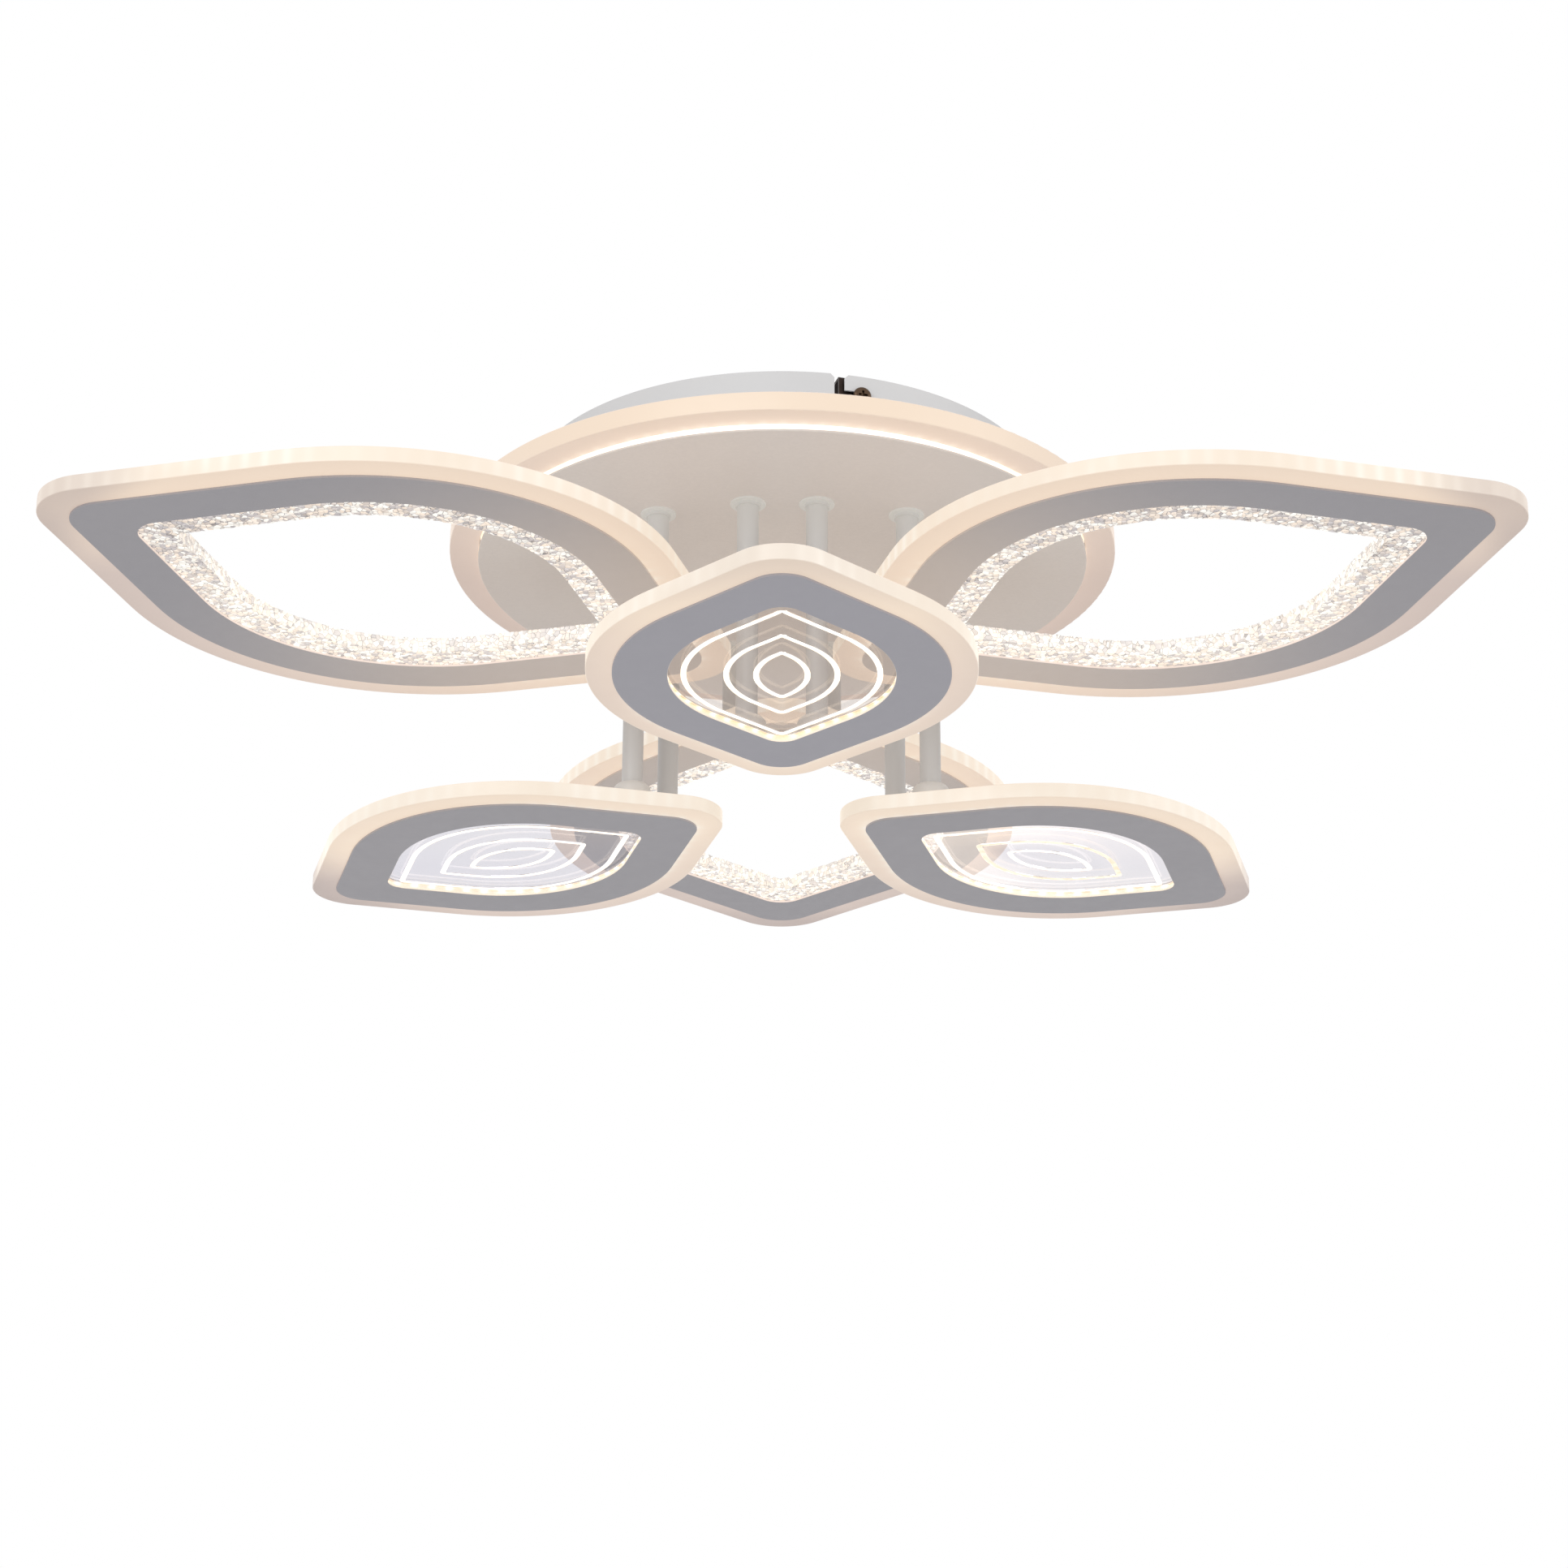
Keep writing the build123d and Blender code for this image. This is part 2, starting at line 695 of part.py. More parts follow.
# Terminal block for the supply, with a wire mouth outside and a screw well above for each way
way_pitch = block_length / block_ways
way_offsets = [(index - (block_ways - 1) / 2) * way_pitch for index in range(block_ways)]
mouth_level = base_top + block_height / 2
with BuildPart() as terminal_block:
    with BuildSketch(Plane.XY.offset(base_top)):
        with Locations((block_reach, 0)):
            Rectangle(block_width, block_length)
    extrude(amount=block_height)
    with BuildSketch(Plane.XY.offset(base_top + block_height)):
        with Locations(*[(block_reach, offset) for offset in way_offsets]):
            Circle(wire_screw_well / 2)
    extrude(amount=-wire_screw_depth, mode=Mode.SUBTRACT)
    with BuildSketch(Plane.YZ.offset(block_reach + block_width / 2)):
        with Locations(*[(offset, mouth_level) for offset in way_offsets]):
            Rectangle(wire_mouth_width, wire_mouth_height)
    extrude(amount=-wire_mouth_depth, mode=Mode.SUBTRACT)
save(terminal_block, "terminal_block")

# Supply leads, straight from the terminal block to the drivers
lead_level = base_top + lead_height
with BuildPart() as supply_leads:
    with BuildSketch(Plane.YZ.offset(driver_length / 2)):
        with Locations((-supply_lead_offset, lead_level), (supply_lead_offset, lead_level)):
            Circle(lead_diameter / 2)
    extrude(amount=block_reach - block_width / 2 - driver_length / 2)
save(supply_leads, "supply_leads")

# Output leads, one to each petal: out of a driver, down a post and across the channel to the strip
with BuildPart() as output_leads:
    for petal, kind, azimuth in petals:
        x, y = lamp_place(kind, azimuth, post_places(kind)[lead_posts[azimuth]])
        end, way_in = lead_end(kind, azimuth)
        if abs(x) > driver_length / 2 and abs(y) < driver_centre + driver_width / 2:
            start = driver_length / 2 if x > 0 else -driver_length / 2, y
        else:
            far_side = driver_centre + driver_width / 2
            start = x, far_side if y > 0 else -far_side
        low = lead_foot - kind.drop
        with BuildLine() as route:
            FilletPolyline(
                (*start, lead_level),
                (x, y, lead_level),
                (x, y, low),
                (*lamp_place(kind, azimuth, (end.X, end.Y)), low),
                radius=[lead_bend, lead_foot_bend],
            )
        with BuildSketch(Plane(origin=(*start, lead_level), z_dir=route.line % 0)):
            Circle(lead_diameter / 2)
        sweep()
save(output_leads, "output_leads")
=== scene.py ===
"""LED ceiling light: lit acrylic canopy and six leaf petals, seen from below. Metres, +Z up."""

import math

import bpy
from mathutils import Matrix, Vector, noise


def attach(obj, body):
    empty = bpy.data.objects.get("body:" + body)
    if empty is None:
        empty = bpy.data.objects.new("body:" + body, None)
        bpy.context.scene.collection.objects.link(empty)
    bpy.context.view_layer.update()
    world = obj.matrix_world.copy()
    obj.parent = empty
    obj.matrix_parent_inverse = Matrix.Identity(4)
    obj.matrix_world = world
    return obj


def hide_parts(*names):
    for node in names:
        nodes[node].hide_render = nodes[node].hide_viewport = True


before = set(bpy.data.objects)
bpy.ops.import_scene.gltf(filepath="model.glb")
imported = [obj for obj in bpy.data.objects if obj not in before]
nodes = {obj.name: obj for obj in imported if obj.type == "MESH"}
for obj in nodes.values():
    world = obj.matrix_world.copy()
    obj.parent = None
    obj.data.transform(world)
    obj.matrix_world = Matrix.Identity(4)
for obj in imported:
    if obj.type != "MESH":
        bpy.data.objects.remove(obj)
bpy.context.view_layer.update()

MM = 0.001
ROOT_TWO = math.sqrt(2)

# Leaf outline: corner of its square, tip radius and side radius, in millimetres
LARGE_FACE = (175.491, 20.5, 133.96)
SMALL_FACE = (119.835, 16.5, 97.38)
LARGE_OPENING = (139.299, 14.0, 109.36)
SMALL_OPENING = (83.642, 10.0, 72.77)
# Petals: kind, azimuth in degrees, then reach from the axis and height of the lower face in millimetres
PETALS = {
    "large_petal_1": ("large", 210, 217.5, -107.5),
    "large_petal_2": ("large", 330, 217.5, -107.5),
    "large_petal_3": ("large", 90, 217.5, -107.5),
    "small_petal_1": ("small", 270, 166.5, -179.0),
    "small_petal_2": ("small", 150, 166.5, -179.0),
    "small_petal_3": ("small", 30, 166.5, -179.0),
}
# Faces of the petals' acrylic above a petal's lower face, and how far the rings reach past the face frames
ACRYLIC_LOW = 1.2
ACRYLIC_HIGH = 9.2
OVERHANG = {"large": 14.0, "small": 12.5}
ACRYLIC_IOR = 1.49
# Distance between the chips of the light strips, and the radius of the canopy's strip, in metres
CHIP_PITCH = 0.0096
RING_CHIP_PITCH = 0.0098
CANOPY_STRIP_RADIUS = 0.159
# Heights on the posts, in metres: top of the bell foot, lower side of the lip under the plate, and where
# the light of the plate starts to show
FOOT_TOP = {"large": -0.0941, "small": -0.1656}
POST_LIP = -0.0471
POST_GLOW_START = -0.080


def srgb(red, green, blue):
    """A colour given in 8-bit sRGB, as a linear colour with alpha."""
    out = []
    for value in (red, green, blue):
        value /= 255
        out.append(value / 12.92 if value <= 0.04045 else ((value + 0.055) / 1.055) ** 2.4)
    return (*out, 1.0)


class Nodes:
    """A new material and short calls that add its nodes."""

    def __init__(self, name):
        self.material = bpy.data.materials.new(name)
        self.material.use_nodes = True
        self.tree = self.material.node_tree
        self.shader = self.tree.nodes["Principled BSDF"]
        self.coordinates = self.tree.nodes.new("ShaderNodeTexCoord").outputs["Object"]

    def put(self, value, socket):
        """Links a socket or sets a number."""
        if isinstance(value, bpy.types.NodeSocket):
            self.tree.links.new(value, socket)
        else:
            socket.default_value = value

    def add(self, kind, **inputs):
        """A node of a kind; keys with leading capitals are inputs, the others are properties."""
        node = self.tree.nodes.new(kind)
        for key, value in inputs.items():
            if key[0].islower():
                setattr(node, key, value)
        for key, value in inputs.items():
            if not key[0].islower():
                self.put(value, node.inputs[key.replace("_", " ")])
        return node

    def math(self, operation, first, second=0.0, third=0.0, clamp=False):
        node = self.tree.nodes.new("ShaderNodeMath")
        node.operation = operation
        node.use_clamp = clamp
        for socket, value in zip(node.inputs, (first, second, third)):
            self.put(value, socket)
        return node.outputs[0]

    def product(self, *factors):
        total = factors[0]
        for factor in factors[1:]:
            total = self.math("MULTIPLY", total, factor)
        return total

    def flip(self, value, clamp=False):
        """1 minus a value."""
        return self.math("SUBTRACT", 1.0, value, clamp=clamp)

    def above(self, value, limit):
        return self.math("GREATER_THAN", value, limit)

    def hypotenuse(self, first, second):
        return self.math("SQRT", self.math("MULTIPLY_ADD", first, first, self.product(second, second)))

    def noise(self, scale, detail=3.0):
        node = self.add("ShaderNodeTexNoise", Scale=scale, Detail=detail, Vector=self.coordinates)
        return node.outputs[0]

    def remap(self, value, low, high, to_low=0.0, to_high=1.0, smooth=False):
        node = self.tree.nodes.new("ShaderNodeMapRange")
        if smooth:
            node.interpolation_type = "SMOOTHSTEP"
        keys = ("Value", "From Min", "From Max", "To Min", "To Max")
        for key, item in zip(keys, (value, low, high, to_low, to_high)):
            self.put(item, node.inputs[key])
        return node.outputs[0]

    def mix(self, factor, first, second):
        """A blend of two colours."""
        node = self.tree.nodes.new("ShaderNodeMix")
        node.data_type = "RGBA"
        self.put(factor, node.inputs[0])
        self.put(first, node.inputs[6])
        self.put(second, node.inputs[7])
        return node.outputs[2]

    def shade(self, **inputs):
        """Sets or links inputs of the shader; an underscore stands for a space."""
        for key, value in inputs.items():
            self.put(value, self.shader.inputs[key.replace("_", " ")])

    def bump(self, height, strength, distance):
        node = self.add("ShaderNodeBump", Strength=strength, Distance=distance, Height=height)
        self.shade(Normal=node.outputs[0])

    def axes(self, vector=None):
        node = self.add("ShaderNodeSeparateXYZ")
        self.put(self.coordinates if vector is None else vector, node.inputs[0])
        return node.outputs

    def facing_up(self):
        """1 on faces that look up, 0 on upright ones and -1 on faces that look down."""
        return self.axes(self.tree.nodes.new("ShaderNodeNewGeometry").outputs["Normal"])[2]


def finish_on(material, *names):
    """Gives nodes of the frame a material."""
    for name in names:
        mesh = nodes[name].data
        mesh.materials.clear()
        mesh.materials.append(material)


def toned(colour, share):
    """A darker tone of a colour."""
    return tuple(share * c for c in colour[:3]) + (1.0,)


def paint(name, colour, speckle=0.0):
    """Matt powder coat: a fine orange peel and a faint unevenness of tone."""
    n = Nodes(name)
    tone = n.remap(n.noise(9.0, 4.0), 0.3, 0.7)
    if speckle:
        specks = n.remap(n.noise(620.0, 2.0), 0.35, 0.65, -1.0, 1.0)
        tone = n.math("MULTIPLY_ADD", specks, speckle, tone)
    n.shade(Base_Color=n.mix(tone, toned(colour, 0.965), colour))
    n.shade(Roughness=n.remap(n.noise(160.0), 0.3, 0.7, 0.37, 0.47))
    n.bump(n.noise(900.0, 2.0), 0.12, 0.0003)
    return n


def metal(name, colour, roughness):
    """Plated metal with faint handling marks."""
    grain = 700.0
    n = Nodes(name)
    tone = n.remap(n.noise(120.0, 5.0), 0.35, 0.65)
    n.shade(Metallic=1.0, Base_Color=n.mix(tone, toned(colour, 0.82), colour))
    n.shade(Roughness=n.remap(n.noise(grain), 0.3, 0.7, roughness - 0.08, roughness + 0.1))
    n.bump(n.noise(grain, 4.0), 0.08, 0.0003)
    return n


def plastic(name, colour, roughness):
    """Moulded plastic with a light spark-eroded grain."""
    n = Nodes(name)
    tone = n.remap(n.noise(30.0), 0.3, 0.7)
    n.shade(Base_Color=n.mix(tone, toned(colour, 0.95), colour))
    n.shade(Roughness=n.remap(n.noise(250.0), 0.3, 0.7, roughness - 0.06, roughness + 0.06))
    n.bump(n.noise(1400.0, 2.0), 0.15, 0.0002)
    return n


def leaf_field(n, outline, azimuth, reach):
    """In a petal's material: how far a point lies outside a leaf outline, how far along it, and its
    length and width from the leaf's centre."""
    corner, tip, side = (value * MM for value in outline)
    turn = math.radians(azimuth)
    place = n.add("ShaderNodeMapping", vector_type="TEXTURE", Vector=n.coordinates)
    place.inputs["Location"].default_value = (reach * MM * math.cos(turn), reach * MM * math.sin(turn), 0)
    place.inputs["Rotation"].default_value = (0, 0, turn)
    length, width, _ = n.axes(place.outputs[0])
    u = n.math("ABSOLUTE", length)
    v = n.math("ABSOLUTE", width)
    side_out = n.math("ADD", v, side * ROOT_TWO - corner)
    tip_out = n.math("SUBTRACT", u, corner - tip * ROOT_TWO)
    flank = n.math("MULTIPLY_ADD", n.math("ADD", u, v), 1 / ROOT_TWO, -corner / ROOT_TWO)
    on_side = n.math("SUBTRACT", n.hypotenuse(u, side_out), side)
    on_tip = n.math("SUBTRACT", n.hypotenuse(v, tip_out), tip)
    near_side = n.above(side_out, u)
    near_tip = n.above(tip_out, v)
    out = n.math("ADD", n.product(near_side, on_side), n.product(near_tip, on_tip))
    rest = n.math("SUBTRACT", n.flip(near_side), near_tip)
    out = n.math("ADD", out, n.product(rest, flank))
    arc = n.product(n.math("ARCTAN2", u, side_out), side)
    straight = n.math("MULTIPLY_ADD", n.math("SUBTRACT", u, side_out), 1 / ROOT_TWO, side * math.pi / 4)
    along = n.math("ADD", n.product(near_side, arc), n.product(n.flip(near_side), straight))
    return out, along, length, width


def frontness(n, length, width, outline, azimuth):
    """In a petal's material: 1 where the leaf's edge looks to the lamp's front, -1 to its back."""
    corner, tip, side = outline
    a = n.math("DIVIDE", length, ((corner - tip * (ROOT_TWO - 1)) * MM) ** 2)
    b = n.math("DIVIDE", width, ((corner - side * (ROOT_TWO - 1)) * MM) ** 2)
    turn = math.radians(azimuth)
    along_front = n.math("MULTIPLY_ADD", a, -math.sin(turn), n.product(b, -math.cos(turn)))
    return n.math("DIVIDE", along_front, n.hypotenuse(a, b))


def axis_radius(n):
    """In any material: the distance from the lamp's axis."""
    x, y, _ = n.axes()
    return n.hypotenuse(x, y)


def along_canopy_strip(n):
    """In the canopy's materials: how far a point lies along the light strip."""
    x, y, _ = n.axes()
    return n.product(n.math("ARCTAN2", y, x), CANOPY_STRIP_RADIUS)


def chips(n, along, pitch, sharpness):
    """A row of soft spots, one for each chip of a light strip."""
    wave = n.math("COSINE", n.product(along, 2 * math.pi / pitch))
    return n.math("POWER", n.math("MULTIPLY_ADD", wave, 0.5, 0.5), sharpness)


def opal(n, low, wall, level, spots):
    """Opal acrylic lit from inside, with one glow on its flat faces and another on its wall."""
    flat = n.math("ABSOLUTE", n.facing_up())
    glow = n.mix(spots, n.mix(flat, wall, low), srgb(212, 203, 189))
    n.shade(Emission_Color=glow, Emission_Strength=level, Base_Color=srgb(172, 168, 164), IOR=ACRYLIC_IOR)
    n.shade(Roughness=n.remap(n.noise(80.0), 0.3, 0.7, 0.3, 0.42))
    n.bump(n.noise(500.0, 2.0), 0.06, 0.0003)
    return n.material


# Acrylic of the petals: brightest towards the lamp's front and middle, dimmest at the outer tips
for petal, (kind, azimuth, reach, _) in PETALS.items():
    n = Nodes(f"{petal}_acrylic")
    outline = LARGE_FACE if kind == "large" else SMALL_FACE
    out, along, length, width = leaf_field(n, outline, azimuth, reach)
    radius = axis_radius(n)
    front = n.remap(frontness(n, length, width, outline, azimuth), -0.2, 0.5)
    back = n.flip(front)
    if kind == "large":
        near_low, near_wall, contrast = srgb(200, 177, 154), srgb(200, 182, 159), 0.7
        inner = n.remap(radius, 0.320, 0.120, 0.0, 0.9)
        tip = n.product(back, n.remap(radius, 0.270, 0.330, 0.0, 0.22))
        tip = n.math("ADD", tip, n.remap(radius, 0.360, 0.390, 0.0, 0.65, smooth=True))
    else:
        near_low, near_wall, contrast = srgb(202, 181, 158), srgb(200, 185, 165), 0.4
        inner = n.remap(radius, 0.220, 0.060, 0.1, 0.85)
        tip = n.math("MULTIPLY_ADD", back, 0.65, 0.3)
        tip = n.product(tip, n.remap(radius, 0.242, 0.290, 0.0, 1.0, smooth=True))
    unlit = n.product(back, n.flip(inner))
    low = n.mix(unlit, near_low, srgb(167, 147, 137))
    low = n.mix(tip, low, srgb(132, 114, 109))
    wall = n.mix(tip, near_wall, srgb(142, 122, 112))
    down = n.math("MULTIPLY", n.facing_up(), -1.0, clamp=True)
    fade = n.remap(out, 0.0, OVERHANG[kind] * MM, 1.0, 0.0)
    uneven = n.remap(n.noise(16.0, 2.0), 0.42, 0.62, 0.15, 1.0)
    spot = n.math("MULTIPLY_ADD", chips(n, along, RING_CHIP_PITCH, 2.0), contrast, 1.0 - contrast)
    wall_spot = n.product(uneven, n.flip(down), 0.95, n.flip(tip))
    low_spot = n.product(down, n.math("POWER", fade, 5.0), n.remap(radius, 0.165, 0.120))
    spots = n.math("MULTIPLY", spot, n.math("ADD", wall_spot, low_spot), clamp=True)
    level = n.math("MULTIPLY_ADD", n.product(fade, down), 0.1, 0.96)
    finish_on(opal(n, low, wall, level, spots), f"{petal}_ring")

# Acrylic of the canopy, its glow painted brighter towards the lamp's front
n = Nodes("canopy_acrylic")
radius = axis_radius(n)
front = n.remap(n.math("DIVIDE", n.axes()[1], radius), 0.1, -0.95)
low = n.mix(front, srgb(160, 139, 128), srgb(191, 168, 149))
wall = n.mix(front, srgb(164, 142, 126), srgb(194, 168, 138))
spots = chips(n, along_canopy_strip(n), CHIP_PITCH, 2.0)
spots = n.product(spots, n.remap(radius, 0.166, 0.160, 0.0, 0.3), n.remap(front, 0.5, 0.9))
level = n.remap(radius, 0.160, 0.175, 1.04, 0.96)
finish_on(opal(n, low, wall, level, spots), "canopy_ring")

# Light strip of the canopy, seen in the slit above its plate
n = Nodes("canopy_strip_light")
front = n.remap(n.math("DIVIDE", n.axes()[1], axis_radius(n)), -0.55, -0.97)
spots = n.math("MAXIMUM", chips(n, along_canopy_strip(n), 2 * CHIP_PITCH, 2.0), front)
n.shade(Emission_Color=n.mix(spots, srgb(246, 218, 184), srgb(255, 253, 246)))
n.shade(Emission_Strength=n.math("MULTIPLY_ADD", front, 0.3, 0.8), Base_Color=srgb(240, 236, 226))
finish_on(n.material, "canopy_light_strip")

n = plastic("strip_light", srgb(245, 240, 225), 0.4)
n.shade(Emission_Color=srgb(255, 238, 205), Emission_Strength=0.8)
finish_on(n.material, *[f"{petal}_light_strips" for petal in PETALS])

# Painted metal. The light that the acrylic throws on it is added as a faint glow
EDGE_MARGIN = 0.5 * MM
for petal, (kind, azimuth, reach, _) in PETALS.items():
    # The frames' grey, darker than the pan's white, is painted shade of their backlit lower faces. The first
    # small petal's frame gets a slightly lighter, bluer grey.
    colour = srgb(187, 186, 195) if petal == "small_petal_1" else srgb(183, 181, 187)
    n = paint(f"{petal}_frame_paint", colour)
    opening = LARGE_OPENING if kind == "large" else SMALL_OPENING
    out = leaf_field(n, opening, azimuth, reach)[0]
    upright = n.flip(n.math("ABSOLUTE", n.facing_up()), clamp=True)
    cut_edge = n.product(upright, n.above(EDGE_MARGIN, out))
    # Painted light from the acrylic: a glow on the cut edge of the opening, and on the large frames also a
    # warm glow strongest near the lamp's axis
    if kind == "large":
        thrown_glow = n.remap(axis_radius(n), 0.335, 0.120, 0.0, 0.195, smooth=True)
        n.shade(Emission_Color=n.mix(cut_edge, (1.0, 0.76, 0.5, 1.0), (1.0, 0.78, 0.62, 1.0)))
        n.shade(Emission_Strength=n.math("MAXIMUM", thrown_glow, n.product(cut_edge, 0.6)))
    else:
        n.shade(Emission_Color=(1.0, 0.84, 0.6, 1.0), Emission_Strength=n.product(cut_edge, 0.8))
    finish_on(n.material, f"{petal}_face")

for kind, foot in FOOT_TOP.items():
    n = paint(f"{kind}_post_paint", srgb(208, 207, 206))
    # Painted light on the posts: a warm glow just above the bell foot, and a paler glow that grows towards
    # the plate and above the lip
    z = n.axes()[2]
    upper = n.above(z, POST_GLOW_START - MM)
    n.shade(Emission_Color=n.mix(upper, (1.0, 0.82, 0.6, 1.0), (0.96, 0.95, 0.86, 1.0)))
    low_glow = n.remap(z, foot + 0.0088, foot + 0.0068, 0.0, 0.06)
    glow = n.math("ADD", low_glow, n.remap(z, POST_GLOW_START, -0.047, 0.0, 0.145))
    n.shade(Emission_Strength=n.math("ADD", glow, n.product(n.above(z, POST_LIP), 0.06)))
    finish_on(n.material, *[f"{petal}_posts" for petal in PETALS if petal.startswith(kind)])
n = paint("white_paint", srgb(218, 217, 217))
finish_on(n.material, "canopy_pan", *[f"{petal}_body" for petal in PETALS])
# The plate's warm tint and its glow, brighter towards the rim and fainter to the sides, are painted light
# from the lamp's lit acrylic
n = paint("plate_paint", srgb(222, 216, 210), speckle=0.45)
aside = n.remap(n.math("ABSOLUTE", n.axes()[0]), 0.060, 0.130, 0.0, 0.5, smooth=True)
glow = n.math("SUBTRACT", n.remap(axis_radius(n), 0.060, 0.140, 0.72, 1.08), aside)
n.shade(Emission_Color=srgb(104, 99, 98), Emission_Strength=glow)
finish_on(n.material, "canopy_plate")

# Hardware
bright_zinc = (
    "canopy_nuts", "petal_nuts", "canopy_nipples", "petal_nipples",
    "petal_screws", "pan_screws", "driver_screws",
)
for make, name, colour, roughness, names in (
    (metal, "zinc_plate", (200, 202, 206), 0.34, ("base_plate", "strip_drum")),
    (metal, "bright_zinc", (205, 206, 210), 0.24, bright_zinc),
    # The bracket is made dark as painted shade, keeping the slot in the pan dark as a ceiling above it would
    (metal, "dark_bracket", (62, 52, 48), 0.45, ("ceiling_bracket",)),
    (metal, "bronzed_screw", (92, 74, 60), 0.32, ("bracket_screws",)),
    (metal, "earth_brass", (205, 170, 96), 0.28, ("earth_screw",)),
    (plastic, "driver_case", (228, 228, 224), 0.5, ("driver_1", "driver_2")),
    (plastic, "terminal_plastic", (236, 234, 226), 0.4, ("terminal_block",)),
    (plastic, "lead_insulation", (226, 226, 222), 0.45, ("supply_leads", "output_leads")),
):
    finish_on(make(name, srgb(*colour), roughness).material, *names)

# Engraved lines of the small panels, from the outside in: the leaf outline of each line's outer edge
LINE_TIP = 3.0
LINES = []
for half_length, half_width in ((73.5, 47.5), (46.5, 27.5), (27.0, 13.5)):
    corner = half_length + LINE_TIP * (ROOT_TWO - 1)
    LINES.append((corner, LINE_TIP, (corner - half_width) / (ROOT_TWO - 1)))

# Clear panels of the small petals, frosted at the edge where the light enters; the glow there and on the
# upper face under the frame is painted light of the strip
SMALL_PETALS = ("small_petal_1", "small_petal_2", "small_petal_3")
PANEL_UPPER_EDGE = -0.1700
for petal in SMALL_PETALS:
    _, azimuth, reach, _ = PETALS[petal]
    n = Nodes(f"{petal}_clear_acrylic")
    out, along, length, _ = leaf_field(n, SMALL_OPENING, azimuth, reach)
    upper = n.product(n.above(out, EDGE_MARGIN), n.above(n.axes()[2], PANEL_UPPER_EDGE))
    rim = n.math("MAXIMUM", upper, n.above(out, 0.0017))
    if petal == "small_petal_1":
        pale, paler = srgb(238, 230, 225), srgb(244, 237, 231)
    else:
        pale, paler = srgb(237, 235, 244), srgb(244, 242, 247)
    glow = n.mix(chips(n, along, CHIP_PITCH, 2.5), srgb(222, 196, 158), srgb(255, 252, 240))
    strength = rim
    if petal == "small_petal_3":
        # Milky veil of light inside the panel, strongest at the tip by the posts and outside the second line
        outside = leaf_field(n, LINES[1], azimuth, reach)[0]
        veil = n.remap(length, -0.070, 0.060, 0.17, 0.02, smooth=True)
        cloud = n.remap(n.noise(60.0), 0.3, 0.7, 0.85, 1.1)
        veil = n.product(veil, n.remap(outside, -0.012, 0.0, 0.25, 1.0), cloud)
        glow = n.mix(rim, (1.0, 0.84, 0.62, 1.0), glow)
        strength = n.math("MAXIMUM", rim, veil)
    n.shade(Emission_Color=glow, Emission_Strength=strength, Transmission_Weight=n.flip(rim))
    n.shade(Base_Color=n.mix(n.remap(n.noise(12.0), 0.3, 0.7), pale, paler), IOR=ACRYLIC_IOR, Roughness=0.0)
    finish_on(n.material, f"{petal}_panel")


def between(start, end, t):
    return start[0] + (end[0] - start[0]) * t, start[1] + (end[1] - start[1]) * t


def leaf_points(outline, counts):
    """Points round a leaf outline, with the same number on each arc and flank whatever its size."""
    corner, tip, side = outline
    on_tip, on_flank, on_side = counts
    corners = [
        ((corner - tip * ROOT_TWO, 0), tip, -45, on_tip),
        ((0, corner - side * ROOT_TWO), side, 45, on_side),
        ((tip * ROOT_TWO - corner, 0), tip, 135, on_tip),
        ((0, side * ROOT_TWO - corner), side, 225, on_side),
    ]
    points = []
    for (cx, cy), radius, start, count in corners:
        arc = []
        for step in range(count + 1):
            angle = math.radians(start + 90 * step / count)
            arc.append((cx + radius * math.cos(angle), cy + radius * math.sin(angle)))
        if points:
            last = points[-1]
            for step in range(1, on_flank):
                t = step / on_flank
                points.append(between(last, arc[0], t))
        points += arc
    last, first = points[-1], points[0]
    for step in range(1, on_flank):
        t = step / on_flank
        points.append(between(last, first, t))
    return points


def grown(outline, by, least_tip):
    """A leaf outline offset outwards, whose tip stays round."""
    corner, tip, side = outline
    return corner + by * ROOT_TWO, max(tip + by, least_tip), side + by


def petal_point(petal, u, v, height):
    """A point given in millimetres from a petal's centre and lower face, in the lamp's frame."""
    _, azimuth, reach, drop = PETALS[petal]
    turn = math.radians(azimuth)
    x = (reach + u) * math.cos(turn) - v * math.sin(turn)
    y = (reach + u) * math.sin(turn) + v * math.cos(turn)
    return x * MM, y * MM, (drop + height) * MM


def lofted(name, rings, material, smooth):
    """A closed band: rings of equally many points, each joined to the next and the last to the first."""
    vertices = [point for ring in rings for point in ring]
    count, size = len(rings), len(rings[0])
    faces = []
    for i in range(count):
        for j in range(size):
            k, m = (i + 1) % count, (j + 1) % size
            faces.append((i * size + j, i * size + m, k * size + m, k * size + j))
    mesh = bpy.data.meshes.new(name)
    mesh.from_pydata(vertices, [], faces)
    mesh.validate()
    for polygon in mesh.polygons:
        polygon.use_smooth = smooth
    mesh.materials.append(material)
    piece = bpy.data.objects.new(name, mesh)
    bpy.context.scene.collection.objects.link(piece)
    return piece


# Light in the engraved lines. Its upper side is dim but for two rims, so that the panel's upper face
# mirrors each line as a double outline
LINE_WIDTH = 2.8
LINE_GAP = 0.1
RIM_WIDTH = 0.8
LINE_LOW, LINE_MIDDLE, LINE_HIGH = 1.32, 1.45, 2.1
DIM_BELOW = -0.1773
DIM_STRENGTH = 0.1


def groove_light(name, scale, deep, pale, strength):
    n = Nodes(name)
    dim = n.math("MULTIPLY", n.facing_up(), n.above(DIM_BELOW, n.axes()[2]), clamp=True)
    n.shade(Emission_Color=n.mix(n.remap(n.noise(scale), 0.35, 0.65), deep, pale))
    n.shade(Emission_Strength=n.math("MULTIPLY_ADD", dim, DIM_STRENGTH - strength, strength))
    n.shade(Base_Color=srgb(200, 200, 200))
    return n.material


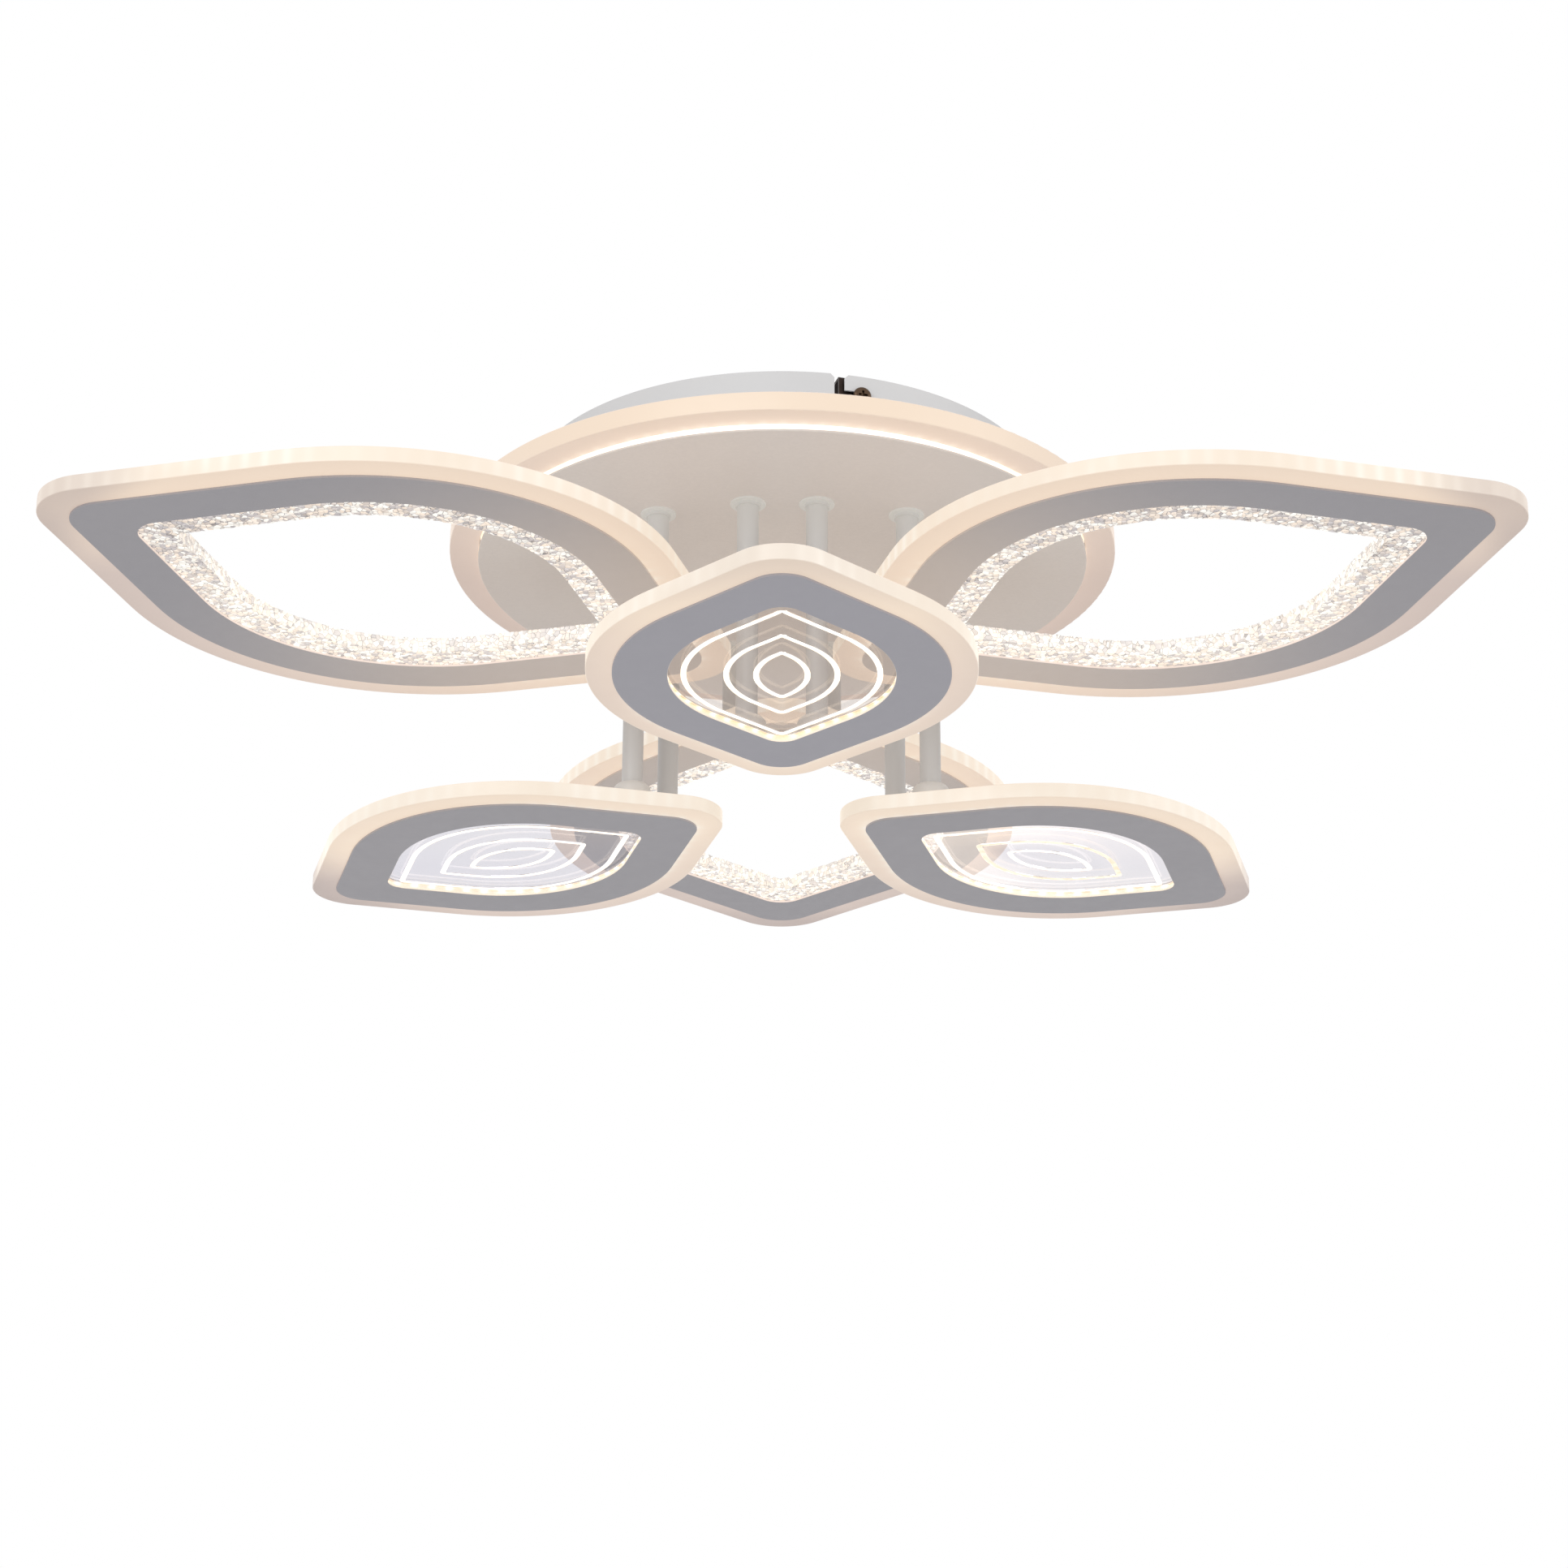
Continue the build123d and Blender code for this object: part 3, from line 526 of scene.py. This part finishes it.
line_light = groove_light("line_light", 35.0, srgb(255, 240, 216), srgb(255, 250, 240), 1.25)
warm_light = groove_light("warm_line_light", 160.0, srgb(232, 202, 158), srgb(250, 236, 210), 0.85)
outer, inner = -LINE_GAP, LINE_GAP - LINE_WIDTH
line_section = (
    (outer, LINE_LOW), (inner, LINE_LOW), (inner, LINE_HIGH), (inner + RIM_WIDTH, LINE_HIGH),
    (inner + RIM_WIDTH, LINE_MIDDLE), (outer - RIM_WIDTH, LINE_MIDDLE), (outer - RIM_WIDTH, LINE_HIGH),
    (outer, LINE_HIGH),
)
for petal in SMALL_PETALS:
    for index, line in enumerate(LINES):
        rings = []
        for by, height in line_section:
            points = leaf_points(grown(line, by, 0.3), (6, 12, 20))
            rings.append([petal_point(petal, u, v, height) for u, v in points])
        light = warm_light if (petal, index) == ("small_petal_3", 1) else line_light
        piece = lofted(f"{petal}_line_{index + 1}", rings, light, smooth=False)
        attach(piece, "lamp")

# Bubble acrylic inside the large petals: palest at the back, where the light shows through it. It tucks
# behind the face frame by TUCK millimetres, and LINING_WALL is in metres
TUCK = 2.0
LINING_WIDTH = 16.5
LINING_WALL = -0.0148


def bubble_acrylic(petal):
    _, azimuth, reach, _ = PETALS[petal]
    n = Nodes(f"{petal}_bubble_acrylic")
    out, _, length, width = leaf_field(n, LARGE_OPENING, azimuth, reach)
    back = n.remap(frontness(n, length, width, LARGE_OPENING, azimuth), 0.35, -0.55)
    back = n.math("MAXIMUM", back, n.remap(axis_radius(n), 0.250, 0.130, 0.0, 0.6))
    upright = n.remap(n.math("ABSOLUTE", n.facing_up()), 0.7, 0.4)
    inner_wall = n.product(upright, n.above(LINING_WALL, out))
    bubbles = {"Vector": n.coordinates, "Scale": 400.0}
    cells = n.add("ShaderNodeTexVoronoi", **bubbles)
    edges = n.add("ShaderNodeTexVoronoi", feature="DISTANCE_TO_EDGE", **bubbles)
    # Painted refraction and sparkle of the lit bubbles: random tones from grey-blue through cream to white,
    # and dark outlines in the glow and the base colour
    tint = n.axes(cells.outputs["Color"])
    tone = n.mix(n.remap(tint[0], 0.12, 0.4), srgb(168, 160, 160), srgb(243, 222, 198))
    tone = n.mix(n.remap(tint[0], 0.5, 0.8), tone, srgb(255, 252, 242))
    rim = n.remap(edges.outputs["Distance"], 0.0, 0.12, 1.0, 0.0, smooth=True)
    rim = n.product(rim, n.remap(tint[1], 0.15, 0.7, 0.25, 1.0))
    dark = n.product(rim, n.math("MULTIPLY_ADD", back, -0.2, 0.85))
    tone = n.mix(dark, tone, srgb(128, 121, 122))
    paler = n.math("MAXIMUM", n.product(back, 0.15), n.product(inner_wall, 0.3))
    tone = n.mix(paler, tone, srgb(255, 246, 226))
    level = n.math("MULTIPLY_ADD", back, 0.16, n.remap(tint[2], 0.0, 1.0, 0.46, 0.8))
    n.shade(Emission_Color=tone, Emission_Strength=n.math("MULTIPLY_ADD", inner_wall, 0.04, level))
    n.shade(Base_Color=n.mix(rim, srgb(186, 182, 182), srgb(90, 90, 100)), Roughness=0.08, IOR=ACRYLIC_IOR)
    n.bump(cells.outputs["Distance"], 0.7, 0.0008)
    return n.material


PEBBLE = 2.7
PEBBLE_DEPTH = 0.7


def pebbled(point, facing):
    """Moves a point of a surface that looks a given way inwards, where it lies between two pebbles."""
    distances, _ = noise.voronoi(Vector(point) / (PEBBLE * MM))
    depth = min(distances[0], 1.0) ** 1.5 * PEBBLE_DEPTH * MM
    return [p - depth * f for p, f in zip(point, facing)]


# Section of a lining: offset from the opening, height, and the way its surface looks
FACE_STEPS = 18
WALL_STEPS = 8
lining_section = []
for step in range(FACE_STEPS + 1):
    lining_section.append((TUCK - (TUCK + LINING_WIDTH) * step / FACE_STEPS, ACRYLIC_LOW, (0, -1)))
for step in range(1, WALL_STEPS):
    height = ACRYLIC_LOW + (ACRYLIC_HIGH - ACRYLIC_LOW) * step / WALL_STEPS
    lining_section.append((-LINING_WIDTH, height, (-1, 0)))
for step in range(FACE_STEPS + 1):
    lining_section.append(((TUCK + LINING_WIDTH) * step / FACE_STEPS - LINING_WIDTH, ACRYLIC_HIGH, (0, 1)))

for petal in ("large_petal_1", "large_petal_2", "large_petal_3"):
    turn = math.radians(PETALS[petal][1])
    rings = []
    for by, height, (sideways, up) in lining_section:
        points = leaf_points(grown(LARGE_OPENING, by, 3.0), (18, 76, 140))
        ring = []
        for index, (u, v) in enumerate(points):
            before, after = points[index - 1], points[(index + 1) % len(points)]
            out = Vector((after[1] - before[1], before[0] - after[0])).normalized()
            side_u, side_v = out.x * sideways, out.y * sideways
            facing = (
                side_u * math.cos(turn) - side_v * math.sin(turn),
                side_u * math.sin(turn) + side_v * math.cos(turn),
                up,
            )
            place = petal_point(petal, u, v, height)
            behind_frame = by > 0.3
            ring.append(place if behind_frame else pebbled(place, facing))
        rings.append(ring)
    piece = lofted(f"{petal}_bubbles", rings, bubble_acrylic(petal), smooth=True)
    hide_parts(f"{petal}_lining")
    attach(piece, "lamp")

# Camera at the photograph's place: below the lamp and in front of it, looking up
camera_data = bpy.data.cameras.new("camera")
camera_data.lens = 77.867
camera_data.sensor_width = 36.0
camera_data.clip_end = 50.0
camera = bpy.data.objects.new("camera", camera_data)
camera.location = (0.0, -1.6245, -0.80598)
camera.rotation_euler = [math.radians(angle) for angle in (111.4766, -0.1914, -0.1221)]
bpy.context.scene.collection.objects.link(camera)
bpy.context.scene.camera = camera

# Floor
bpy.ops.mesh.primitive_plane_add(size=14.0, location=(0, 0, -2.4))
floor = bpy.context.object
floor.name = "floor"
n = Nodes("pale_floor")
n.shade(Base_Color=n.mix(n.noise(1.5), srgb(226, 225, 224), srgb(233, 232, 231)), Roughness=0.9)
floor.data.materials.append(n.material)


def soft_light(name, place, aim, size, power):
    data = bpy.data.lights.new(name, "AREA")
    data.size = size
    data.energy = power
    light = bpy.data.objects.new(name, data)
    light.location = place
    light.rotation_euler = (Vector(aim) - Vector(place)).to_track_quat("-Z", "Y").to_euler()
    bpy.context.scene.collection.objects.link(light)


soft_light("front_light", (-1.0, -2.6, 0.5), (0, 0, -0.08), 2.0, 26)
soft_light("side_light", (2.4, -1.2, 0.6), (0, 0, -0.08), 1.6, 12)

# World: even pale light, and plain white where the camera, glass and gloss look out
LIGHT_OF_THE_ROOM = 0.66
world = bpy.data.worlds.new("world")
world.use_nodes = True
bpy.context.scene.world = world
tree = world.node_tree
path = tree.nodes.new("ShaderNodeLightPath")
seen = path.outputs["Is Camera Ray"]
for ray in ("Is Transmission Ray", "Is Glossy Ray"):
    either = tree.nodes.new("ShaderNodeMath")
    either.operation = "MAXIMUM"
    tree.links.new(seen, either.inputs[0])
    tree.links.new(path.outputs[ray], either.inputs[1])
    seen = either.outputs[0]
strength = tree.nodes.new("ShaderNodeMapRange")
strength.inputs["To Min"].default_value = LIGHT_OF_THE_ROOM
strength.inputs["To Max"].default_value = 1.0
tree.links.new(seen, strength.inputs["Value"])
background = tree.nodes["Background"]
background.inputs["Color"].default_value = (1, 1, 1, 1)
tree.links.new(strength.outputs[0], background.inputs["Strength"])

bpy.context.scene.view_settings.view_transform = "Standard"
